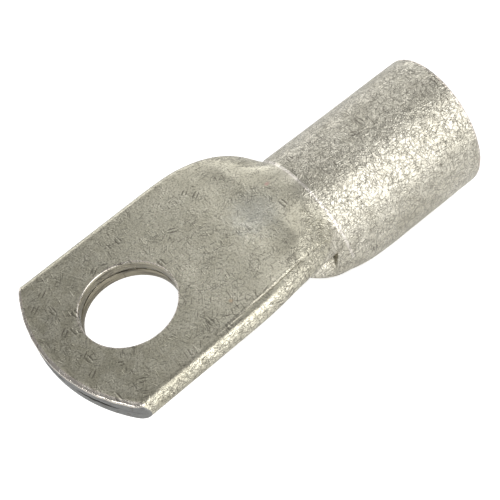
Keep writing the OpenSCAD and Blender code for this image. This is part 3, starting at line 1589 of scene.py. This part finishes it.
@dataclass(frozen=True)
class TinFinish:
    """Tumbled tin over copper: clouded, finely scratched, bare along some edges.

    Attributes:
        form: Sizes of the lug.
        light: The tin where it is cleanest.
        dull: The tin where it is clouded.
        olive: Warm film on the palm.
        palm_dark: Dark patches on the palm, more and darker towards the sheared end.
        speck: Fine dark grain.
        sheared: The sheared end, darkened as painted shade.
        bright: Painted highlight on the burrs and on the ridge along the die line.
        copper: Copper that shows on some burrs.
        hole_brown_and_shade: Brown of the stud hole's wall, with painted shade that deepens down
            the hole.
        grime_and_shade: Dirt in scratches, dents and the hole's wall, with painted shade in them.
        blemishes: Single spots.
        needle_layers: Number of directions that the fine scratches lie in.
        needle_size: Length and width of their cells.
        dent_layers: Number of directions that the dents lie in.
        dent_size: Length and width of their cells.
        scratch_depth: Depth of a scratch, in metres.
        grain_depth: Depth of the grain, in metres.
        palm_scratches: Depth of a scratch on the palm's faces, as a share.
        dent_share: Depth of a dent, as a share of the scratches'.
    """

    form: LugForm
    light: Colour = (0.80, 0.765, 0.66, 1.0)
    dull: Colour = (0.60, 0.57, 0.475, 1.0)
    olive: Colour = (0.64, 0.61, 0.46, 1.0)
    palm_dark: Colour = (0.34, 0.315, 0.24, 1.0)
    speck: Colour = (0.30, 0.28, 0.22, 1.0)
    sheared: Colour = (0.22, 0.225, 0.235, 1.0)
    bright: Colour = (0.93, 0.875, 0.80, 1.0)
    copper: Colour = (0.72, 0.47, 0.34, 1.0)
    hole_brown_and_shade: Colour = (0.36, 0.325, 0.245, 1.0)
    grime_and_shade: Colour = (0.16, 0.145, 0.12, 1.0)
    blemishes: tuple[Blemish, ...] = (
        Blemish((24.4, 1.2, 0.0), 0.55, 0.55, (0.74, 0.40, 0.36, 1.0)),
        Blemish((20.0, -1.0, 0.0), 5.5, 0.22, (0.66, 0.70, 0.72, 1.0)),
        Blemish((9.5, -9.5, 0.0), 0.45, 0.50, (0.72, 0.50, 0.30, 1.0)),
    )
    needle_layers: int = 6
    needle_size: tuple[float, float] = (2.5, 0.31)
    dent_layers: int = 3
    dent_size: tuple[float, float] = (2.4, 1.2)
    scratch_depth: float = 0.000052
    grain_depth: float = 0.000028
    palm_scratches: float = 0.22
    dent_share: float = 0.16

    def unrolled(self) -> bpy.types.NodeTree:
        """Make the group that lays the metal's surface out flat, in millimetres.

        Returns:
            The group.
        """
        names = ("Sheet", "Along", "Across", "Up", "Tube")
        g, start, end = new_group("Unrolled", {"Place": "Vector"}, names)
        split = g.add("SeparateXYZ")
        g.feed(split.inputs[0], g.millimetres(start.outputs["Place"]))
        x, y, z = split.outputs
        turn = g.calc("ARCTAN2", y, g.plus(z, self.form.axis_drop))
        around = g.times(turn, self.form.barrel_r)
        flat = g.plus(y, g.times(z, -1.0, g.calc("SIGN", y)))
        tube = g.calc("MAXIMUM", g.ramp(x, 25.5, 28.0), g.ramp(z, -3.3, -3.9))
        join = g.add("CombineXYZ")
        g.feed(join.inputs[0], x)
        g.feed(join.inputs[1], g.plus(flat, g.times(g.minus(around, flat), tube)))
        for name, source in zip(names, (join.outputs[0], x, y, z, tube)):
            g.feed(end.inputs[name], source)
        return g.tree

    def needles(self) -> bpy.types.NodeTree:
        """Make the group for fine scratches that lie in all directions.

        Returns:
            The group.
        """
        takes = {"Sheet": "Vector", "Keep": "Float"}
        g, start, end = new_group("Needles", takes, ("Depth", "Dark"))
        depth: object = 0.0
        dark: object = 0.0
        for k in range(self.needle_layers):
            turn = math.pi * (k + 0.31) / self.needle_layers
            shorter = 1.0 - 0.12 * (k % 3)
            size = (self.needle_size[0] * shorter, self.needle_size[1] * shorter)
            cells, lot, _ = g.cells(start.outputs["Sheet"], (3.7 * k, 5.3 * k, 0.0), turn, size)
            kept = g.calc("LESS_THAN", lot.outputs[0], start.outputs["Keep"])
            mark = g.times(g.ramp(cells.outputs["Distance"], 0.40, 0.10), kept)
            in_or_out = g.minus(g.times(lot.outputs[1], 1.6), 0.5)
            depth = g.plus(depth, g.times(mark, in_or_out))
            # Scratches that lie pressed in are marked dark, for dirt and painted shade in them.
            dark = g.calc("MAXIMUM", dark, g.times(mark, g.calc("LESS_THAN", lot.outputs[1], 0.36)))
        g.feed(end.inputs["Depth"], depth)
        g.feed(end.inputs["Dark"], dark)
        return g.tree

    def dents(self) -> bpy.types.NodeTree:
        """Make the group for the deeper dents, which lie in short parallel pairs.

        Returns:
            The group.
        """
        takes = {"Sheet": "Vector", "Keep": "Float"}
        g, start, end = new_group("Dents", takes, ("Depth", "Dark"))
        depth: object = 0.0
        dark: object = 0.0
        for k in range(self.dent_layers):
            shift, turn = (9.1 * k, 2.9 * k, 0.0), 0.5 + 1.05 * k
            cells, lot, place = g.cells(start.outputs["Sheet"], shift, turn, self.dent_size)
            kept = g.calc("LESS_THAN", lot.outputs[0], start.outputs["Keep"])
            area = g.times(g.ramp(cells.outputs["Distance"], 0.42, 0.28), kept)
            off = g.add("VectorMath", operation="SUBTRACT")
            g.feed(off.inputs[0], place)
            g.feed(off.inputs[1], cells.outputs["Position"])
            split = g.add("SeparateXYZ")
            g.feed(split.inputs[0], off.outputs[0])
            beat = g.calc("COSINE", g.times(split.outputs[1], 13.0))
            depth = g.plus(depth, g.times(area, beat))
            # The trough of each dent is marked dark, for dirt and painted shade in it.
            dark = g.calc("MAXIMUM", dark, g.times(area, g.ramp(beat, -0.1, -0.7)))
        g.feed(end.inputs["Depth"], depth)
        g.feed(end.inputs["Dark"], dark)
        return g.tree

    def clouds(self) -> bpy.types.NodeTree:
        """Make the group for the mottled tone of the tin.

        Returns:
            The group.
        """
        names = ("Tone", "Grain", "Patch", "Speck")
        g, start, end = new_group("Clouds", {"Sheet": "Vector"}, names)
        sheet = start.outputs["Sheet"]
        broad = g.times(g.noise(sheet, 0.16, 3.0, 0.55), 0.55)
        small = g.times(g.noise(sheet, 0.75, 4.0, 0.65), 0.45)
        g.feed(end.inputs["Tone"], g.ramp(g.plus(broad, small), 0.30, 0.70))
        g.feed(end.inputs["Grain"], g.noise(sheet, 3.1, 2.5, 0.7))
        g.feed(end.inputs["Patch"], g.ramp(g.noise(sheet, 0.33, 2.0, 0.6), 0.50, 0.66))
        g.feed(end.inputs["Speck"], g.ramp(g.noise(sheet, 3.5, 1.5, 0.6), 0.47, 0.66))
        return g.tree

    def spot(self) -> bpy.types.NodeTree:
        """Make the group for one discoloured spot with a ragged edge.

        Returns:
            The group.
        """
        takes = {"Sheet": "Vector", "Middle": "Vector", "Reach": "Float"}
        g, start, end = new_group("Blemish", takes, ("Mask",))
        sheet, middle, reach = (start.outputs[name] for name in takes)
        off = g.add("VectorMath", operation="DISTANCE")
        g.feed(off.inputs[0], sheet)
        g.feed(off.inputs[1], middle)
        far = g.plus(off.outputs["Value"], g.times(g.noise(sheet, 1.1, 3.0, 0.6), reach))
        g.feed(end.inputs["Mask"], g.ramp(g.calc("DIVIDE", far, reach), 1.4, 0.6))
        return g.tree

    def edges(self) -> bpy.types.NodeTree:
        """Make the group that finds the cut metal, its burrs and the lines of the dies.

        Returns:
            The group.
        """
        form = self.form
        takes = {"Along": "Float", "Across": "Float", "Up": "Float"}
        g, start, end = new_group("Edges", takes, ("Shear", "Burr", "Wall", "Line", "Mouth"))
        x, y, z = (start.outputs[name] for name in takes)
        above = g.plus(z, form.axis_drop)
        top = g.ramp(z, -0.34, -0.22)

        reach = g.length(g.minus(x, form.tip_r - form.tip_reach), g.minus(y, form.tip_shift))
        end_half = g.ramp(x, 5.0, 2.0)
        at_end = g.times(g.ramp(reach, form.tip_r - 0.22, form.tip_r - 0.12), end_half)
        near_end = g.times(g.ramp(reach, form.tip_r - 0.6, form.tip_r - 0.42), end_half)
        # Shear marks the sheared face, which the colour darkens as painted shade.
        g.feed(end.inputs["Shear"], g.times(at_end, g.ramp(z, -0.16, -0.30)))

        radius = g.length(x, y)
        at_hole = g.ramp(radius, form.hole_r + 0.20, form.hole_r + 0.06)
        g.feed(end.inputs["Wall"], g.times(at_hole, g.minus(1.0, top)))
        at_rim = g.ramp(radius, form.hole_r + 0.26, form.hole_r + 0.16)

        yaw, pitch = math.tan(form.mouth_yaw), math.tan(form.mouth_pitch)
        square = g.minus(x, g.plus(g.times(y, yaw), g.times(above, pitch)))
        at_mouth = g.ramp(square, form.mouth_x - 0.50, form.mouth_x - 0.30)
        g.feed(end.inputs["Mouth"], g.ramp(square, form.mouth_x - 0.12, form.mouth_x - 0.04))

        # Burr marks the upper edge of the sheared end, the rim of the stud hole and the edge of the
        # mouth, where the colour puts copper and a painted highlight.
        burr = g.calc("MAXIMUM", g.times(near_end, top), g.times(at_rim, g.ramp(z, -0.16, -0.09)))
        g.feed(end.inputs["Burr"], g.calc("MAXIMUM", burr, g.times(at_mouth, 0.7)))

        # Line marks the thin ridge along the die line, which the colour paints as a highlight.
        bowed = g.times(above, -form.press_bow / form.barrel_r)
        past = g.minus(g.minus(x, form.press_x + form.press_bow / 2), bowed)
        line = g.ramp(g.calc("ABSOLUTE", past), 0.26, 0.12)
        g.feed(end.inputs["Line"], g.times(line, g.ramp(z, -9.3, -8.8)))
        return g.tree

    def read(self, g: Graph) -> Maps:
        """Put the groups into the material.

        Args:
            g: The material's graph.

        Returns:
            What the groups give.
        """
        form = self.form
        place = g.add("TexCoord").outputs["Object"]
        lay = g.group(self.unrolled(), Place=place)
        sheet, along, across, up, tube = lay.outputs
        edges = g.group(self.edges(), Along=along, Across=across, Up=up)
        cut = g.calc("ADD", edges.outputs["Wall"], edges.outputs["Shear"])
        side = g.times(g.ramp(up, -0.15, -0.6), g.calc("SUBTRACT", 1.0, cut, limit=True))

        cluster = g.ramp(g.noise(sheet, 0.24, 2.0, 0.5), 0.44, 0.62, 0.05, 0.40)
        keep = g.plus(g.times(cluster, g.minus(1.0, tube)), g.times(tube, 0.85))
        before = g.ramp(along, form.press_x - 3.0, form.press_x - 0.5, 1.0, 0.12)
        after = g.ramp(along, form.press_x + 0.1, form.press_x + 0.6)
        keep = g.times(keep, g.calc("MAXIMUM", before, after))
        keep = g.calc("MAXIMUM", keep, g.times(side, 0.8))
        keep = g.times(keep, g.minus(1.0, edges.outputs["Mouth"]))

        crowd = g.ramp(g.noise(sheet, 0.22, 1.0, 0.5), 0.42, 0.60, 0.01, 0.10)
        near_end = g.ramp(along, 14.0, -4.0, 0.2, 1.0)
        return Maps(
            place=g.millimetres(place),
            sheet=sheet,
            along=along,
            up=up,
            tube=tube,
            side=side,
            clouds=g.group(self.clouds(), Sheet=sheet),
            edges=edges,
            needles=g.group(self.needles(), Sheet=sheet, Keep=keep),
            dents=g.group(self.dents(), Sheet=sheet, Keep=g.times(crowd, near_end)),
        )

    def colour(self, g: Graph, maps: Maps) -> Socket:
        """Lay the colours over each other, from the tin up to single spots.

        Args:
            g: The material's graph.
            maps: What the groups give.

        Returns:
            The colour.
        """
        clouds, sheet = maps.clouds.outputs, maps.sheet
        shear, burr, wall, line = (maps.edges.outputs[n] for n in ("Shear", "Burr", "Wall", "Line"))
        flat = g.minus(1.0, maps.tube)
        # Dark patches on the palm's faces, more of them towards the sheared end.
        palm_dark_share = g.ramp(g.noise(sheet, 0.42, 4.0, 0.65), 0.44, 0.58)
        palm_dark_share = g.times(palm_dark_share, g.ramp(maps.along, 9.0, -9.0, 0.12, 0.62))
        warm = g.ramp(g.noise(sheet, 1.3, 2.0, 0.6), 0.42, 0.60)
        drawn = g.add("Mapping")
        g.feed(drawn.inputs["Vector"], maps.place)
        drawn.inputs["Scale"].default_value = (0.25, 0.25, 4.5)
        streaks = g.ramp(g.noise(drawn.outputs[0], 1.0, 3.0, 0.6), 0.45, 0.62)
        scratched = g.times(maps.needles.outputs["Dark"], g.ramp(maps.tube, 0.0, 1.0, 0.56, 0.54))
        layers = (
            (g.times(clouds["Patch"], 0.35), self.light),
            (g.times(palm_dark_share, flat), self.palm_dark),
            (g.times(flat, 0.4), self.olive),
            (g.times(clouds["Speck"], 0.62), self.speck),
            # Painted highlight along the die line's ridge.
            (g.times(line, 0.75), self.bright),
            # Painted shade on the sheared face.
            (g.times(shear, 0.85), self.sheared),
            (g.times(burr, warm, 0.55), self.copper),
            # Painted highlight on the burrs.
            (g.times(burr, 0.8), self.bright),
            # Brown of the hole's wall, with painted shade that deepens down the hole.
            (g.times(wall, g.ramp(maps.up, -0.9, -2.2, 0.7, 0.95)), self.hole_brown_and_shade),
            (g.times(wall, streaks, 0.85), self.grime_and_shade),
            # Dirt and painted shade in the scratches.
            (scratched, self.grime_and_shade),
            # Dirt and painted shade in the dents.
            (g.times(maps.dents.outputs["Dark"], 0.68), self.grime_and_shade),
        )
        base = g.tint(clouds["Tone"], self.dull, self.light)
        for share, colour in layers:
            base = g.tint(share, base, colour)
        spot = self.spot()
        for mark in self.blemishes:
            mask = g.group(spot, Sheet=sheet, Middle=mark.middle, Reach=mark.reach).outputs["Mask"]
            base = g.tint(g.times(mask, mark.share), base, mark.colour)
        return base

    def roughness(self, g: Graph, maps: Maps) -> Socket:
        """Make clouded and sheared metal duller, and burrs shinier.

        Args:
            g: The material's graph.
            maps: What the groups give.

        Returns:
            The roughness.
        """
        grain = g.times(g.minus(maps.clouds.outputs["Grain"], 0.5), 0.16)
        rough = g.plus(g.ramp(maps.clouds.outputs["Tone"], 0.0, 1.0, 0.37, 0.27), grain)
        rough = g.plus(rough, g.times(maps.edges.outputs["Shear"], 0.16))
        return g.calc("SUBTRACT", rough, g.times(maps.edges.outputs["Burr"], 0.10), limit=True)

    def relief(self, g: Graph, maps: Maps) -> Socket:
        """Press the grain, the scratches and the dents into the surface.

        Args:
            g: The material's graph.
            maps: What the groups give.

        Returns:
            The normal.
        """
        broad = g.times(g.noise(maps.sheet, 1.6, 3.0, 0.6), 0.9)
        grain = g.bump(g.plus(maps.clouds.outputs["Grain"], broad), self.grain_depth)
        open_metal = g.calc("MAXIMUM", maps.tube, maps.side)
        deeper = g.ramp(open_metal, 0.0, 1.0, self.palm_scratches, 1.0)
        scratches = g.times(maps.needles.outputs["Depth"], deeper)
        dents = g.times(maps.dents.outputs["Depth"], self.dent_share)
        return g.bump(g.plus(scratches, dents), self.scratch_depth, grain)

    def material(self) -> bpy.types.Material:
        """Make the material.

        Returns:
            The material.
        """
        stuff = bpy.data.materials.new("tin")
        stuff.use_nodes = True
        stuff.node_tree.nodes.clear()
        g = Graph(stuff.node_tree)
        maps = self.read(g)
        shader = g.add("BsdfPrincipled")
        shader.inputs["Metallic"].default_value = 1.0
        g.feed(shader.inputs["Base Color"], self.colour(g, maps))
        g.feed(shader.inputs["Roughness"], self.roughness(g, maps))
        g.feed(shader.inputs["Normal"], self.relief(g, maps))
        g.feed(g.add("OutputMaterial").inputs["Surface"], shader.outputs[0])
        return stuff


# ---------------------------------------------------------------- stage


@dataclass(frozen=True)
class Softbox:
    """One plain area light that faces the lug.

    Attributes:
        name: Its name.
        direction: Where it stands, seen from the lug.
        distance: How far away, in metres.
        tall: Its height, in metres.
        wide: Its breadth, in metres.
        radiance: How bright its face is.
    """

    name: str
    direction: Point
    distance: float
    tall: float
    wide: float
    radiance: float

    def place(self, target: Vector) -> None:
        """Put the light in the scene.

        Args:
            target: The point that it faces, in metres.
        """
        lamp = bpy.data.lights.new(self.name, "AREA")
        lamp.shape = "RECTANGLE"
        lamp.size, lamp.size_y = self.tall, self.wide
        lamp.energy = self.radiance * math.pi * self.tall * self.wide
        holder = bpy.data.objects.new(self.name, lamp)
        bpy.context.collection.objects.link(holder)
        away = Vector(self.direction).normalized()
        holder.location = target + away * self.distance
        holder.rotation_euler = away.to_track_quat("Z", "X").to_euler()


@dataclass(frozen=True)
class Studio:
    """Floor, world, lights and camera.

    Attributes:
        form: Sizes of the lug.
        azimuth: Camera's angle round the lug, from its near side.
        elevation: Camera's angle above the floor.
        roll: Camera's turn about its own line of sight.
        distance: From the camera to the target, in millimetres.
        target: What the camera looks at, in millimetres.
        lens: Focal length, in millimetres.
        sensor: Width of the sensor, in millimetres.
        floor_size: Length of the floor's sides, in metres.
        floor_tone: How much light the floor gives back.
        floor_glow: Light that the floor adds where the camera sees it, for a white ground.
        sky: Brightness of the world.
        softboxes: The lights.
    """

    form: LugForm
    azimuth: float = math.radians(-24.636)
    elevation: float = math.radians(51.241)
    roll: float = math.radians(-18.179)
    distance: float = 180.0
    target: Point = (19.268, 1.801, -9.5)
    lens: float = 95.03
    sensor: float = 36.0
    floor_size: float = 1.6
    floor_tone: float = 0.9
    floor_glow: float = 0.60
    sky: float = 0.25
    softboxes: tuple[Softbox, ...] = (
        Softbox("Key", (0.30, -0.58, 0.75), 0.40, 0.29, 0.15, 3.2),
        Softbox("Back", (0.540, 0.425, 0.725), 0.45, 0.22, 0.36, 1.0),
        Softbox("Side", (0.86, -0.14, 0.46), 0.45, 0.34, 0.34, 0.62),
        Softbox("Fold", (0.72, -0.42, 0.55), 0.45, 0.26, 0.10, 1.5),
        Softbox("Front", (0.25, -0.95, 0.30), 0.45, 0.24, 0.70, 2.1),
        Softbox("Far", (0.20, 0.95, 0.24), 0.50, 0.18, 0.70, 1.5),
        Softbox("Edge", (-0.76, -0.10, 0.64), 0.45, 0.10, 0.26, 8.0),
    )

    def lay_floor(self) -> None:
        """Lay the pale floor that the barrel touches."""
        level = -(self.form.axis_drop + self.form.barrel_r) * MM
        bpy.ops.mesh.primitive_plane_add(size=self.floor_size, location=(0.0, 0.0, level))
        floor = bpy.context.active_object
        floor.name = "Floor"
        stuff = bpy.data.materials.new("floor")
        stuff.use_nodes = True
        stuff.node_tree.nodes.clear()
        g = Graph(stuff.node_tree)
        matte, glow, both = g.add("BsdfDiffuse"), g.add("Emission"), g.add("AddShader")
        matte.inputs["Color"].default_value = (*[self.floor_tone] * 3, 1.0)
        glow.inputs["Color"].default_value = (1.0, 1.0, 1.0, 1.0)
        seen = g.add("LightPath").outputs["Is Camera Ray"]
        g.feed(glow.inputs["Strength"], g.times(seen, self.floor_glow))
        g.feed(both.inputs[0], matte.outputs[0])
        g.feed(both.inputs[1], glow.outputs[0])
        g.feed(g.add("OutputMaterial").inputs["Surface"], both.outputs[0])
        floor.data.materials.append(stuff)

    def light(self) -> None:
        """Set the world and the softboxes."""
        world = bpy.data.worlds.new("Studio")
        bpy.context.scene.world = world
        world.use_nodes = True
        back = world.node_tree.nodes["Background"]
        back.inputs["Color"].default_value = (1.0, 1.0, 1.0, 1.0)
        back.inputs["Strength"].default_value = self.sky
        for box in self.softboxes:
            box.place(Vector(self.target) * MM)

    def aim(self) -> None:
        """Set the camera where the lug is seen from above its near side."""
        a, e, r = self.azimuth, self.elevation, self.roll
        back = Vector((math.sin(a) * math.cos(e), -math.cos(a) * math.cos(e), math.sin(e)))
        level = (-back).cross(Vector((0.0, 0.0, 1.0))).normalized()
        rise = level.cross(-back)
        right = math.cos(r) * level + math.sin(r) * rise
        up = -math.sin(r) * level + math.cos(r) * rise
        lens = bpy.data.cameras.new("Camera")
        lens.lens = self.lens
        lens.sensor_width = self.sensor
        lens.clip_start = 0.01
        holder = bpy.data.objects.new("Camera", lens)
        bpy.context.collection.objects.link(holder)
        turn = Matrix((right, up, back)).transposed().to_4x4()
        spot = (Vector(self.target) + back * self.distance) * MM
        holder.matrix_world = Matrix.Translation(spot) @ turn
        bpy.context.scene.camera = holder
        bpy.context.scene.view_settings.view_transform = "Standard"

    def build(self) -> None:
        """Set the whole stage."""
        self.lay_floor()
        self.light()
        self.aim()


def main() -> None:
    """Build the lug and its stage."""
    logging.basicConfig(level=logging.INFO, format="%(name)s: %(message)s")
    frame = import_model()
    LOG.info("nodes in the frame: %s", ", ".join(frame["nodes"]))
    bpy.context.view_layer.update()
    bpy.ops.object.select_all(action="DESELECT")
    form = LugForm()
    lug = Lug(form, TinFinish(form))
    piece = lug.build()
    lug.dress(piece)
    LOG.info("piece %s built", piece.name)
    Studio(form).build()


if __name__ == "__main__":
    main()
